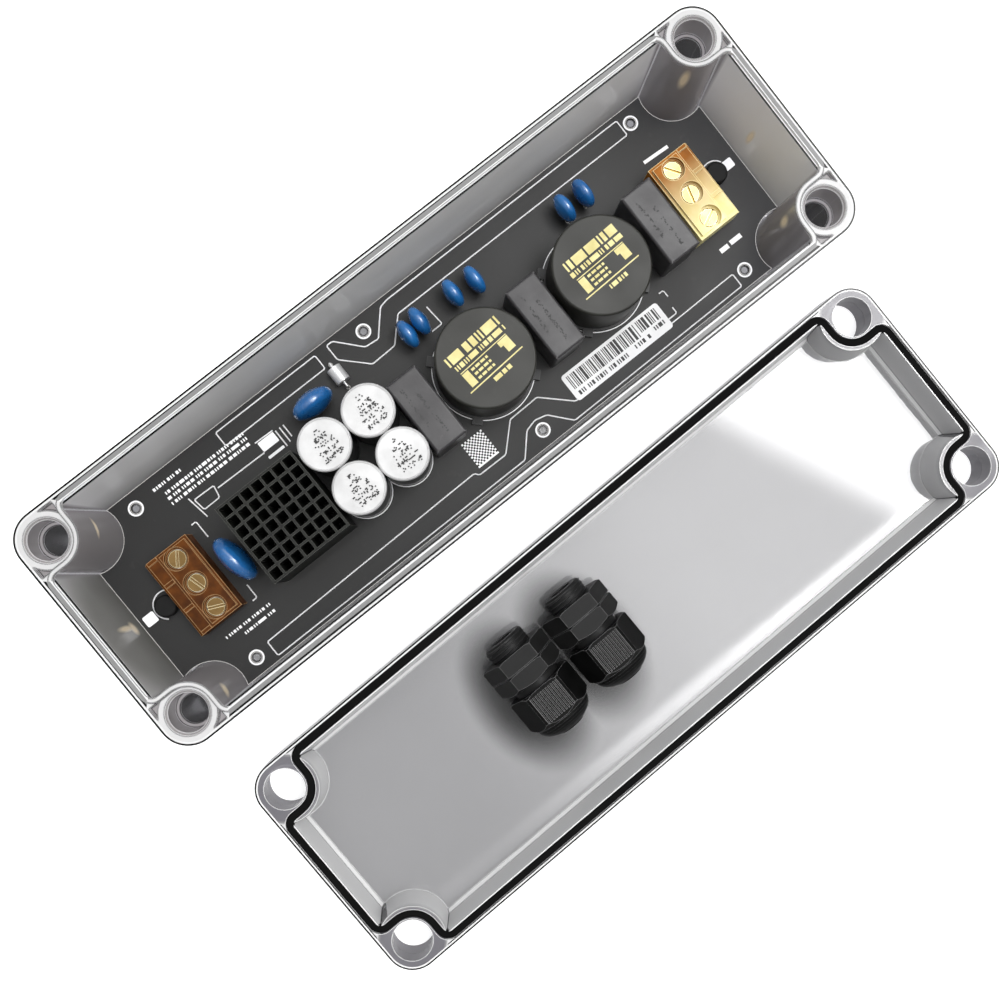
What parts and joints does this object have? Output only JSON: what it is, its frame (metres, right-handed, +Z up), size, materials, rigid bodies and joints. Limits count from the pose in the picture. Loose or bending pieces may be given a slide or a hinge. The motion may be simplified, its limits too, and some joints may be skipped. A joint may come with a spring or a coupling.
{
  "type": "emi line filter",
  "caption": "Mains interference filter board in a clear sealed box, open, with its gasketed lid upside down beside it and loose cable glands lying in the lid.",
  "frame": {"origin": "centre of the underside of the enclosure base", "axes": "+X along the box towards the end beyond the second choke, +Y across it away from the lid, +Z up from the table"},
  "size_m": [0.251, 0.1774, 0.0452],
  "materials": {
    "clear_plastic": "clear, polished",
    "gasket_rubber": "matt black foam rubber",
    "board": "satin black solder mask",
    "solder": "bright",
    "amber_plastic": "translucent amber",
    "plated_steel": "bright plated",
    "brass_screw": "bright",
    "blue_epoxy": "glossy",
    "can_sleeve": "black sleeve, bare top",
    "black_aluminium": "matt black",
    "choke_plastic": "smooth satin",
    "black_plastic": "satin",
    "grey_plastic": "satin",
    "silvery_body": "satin",
    "gland_nylon": "satin"
  },
  "bodies": {
    "root": {"enclosure_base": "clear_plastic", "enclosure_lid": "clear_plastic", "lid_gasket": "gasket_rubber", "circuit_board": "board", "solder_joints": "solder", "terminal_block_left": "amber_plastic", "terminal_cages_left": "plated_steel", "terminal_screws_left": "brass_screw", "terminal_block_right": "amber_plastic", "terminal_cages_right": "plated_steel", "terminal_screws_right": "brass_screw", "disc_capacitor_1": "blue_epoxy", "disc_capacitor_2": "blue_epoxy", "disc_capacitor_3": "blue_epoxy", "disc_capacitor_4": "blue_epoxy", "disc_capacitor_5": "blue_epoxy", "disc_capacitor_6": "blue_epoxy", "disc_capacitor_7": "blue_epoxy", "disc_capacitor_8": "blue_epoxy", "electrolytic_can_1": "can_sleeve", "electrolytic_can_2": "can_sleeve", "electrolytic_can_3": "can_sleeve", "electrolytic_can_4": "can_sleeve", "grid_block": "black_aluminium", "choke_can_1": "choke_plastic", "choke_base_1": "black_plastic", "choke_can_2": "choke_plastic", "choke_base_2": "black_plastic", "film_capacitor_1": "grey_plastic", "film_capacitor_2": "grey_plastic", "film_capacitor_3": "grey_plastic", "axial_part": "silvery_body", "round_part_left": "black_plastic", "round_part_right": "black_plastic", "gland_1_body": "gland_nylon", "gland_1_locknut": "gland_nylon", "gland_1_dome_nut": "gland_nylon", "gland_1_seal": "gasket_rubber", "gland_2_body": "gland_nylon", "gland_2_locknut": "gland_nylon", "gland_2_dome_nut": "gland_nylon", "gland_2_seal": "gasket_rubber"}
  },
  "joints": []
}
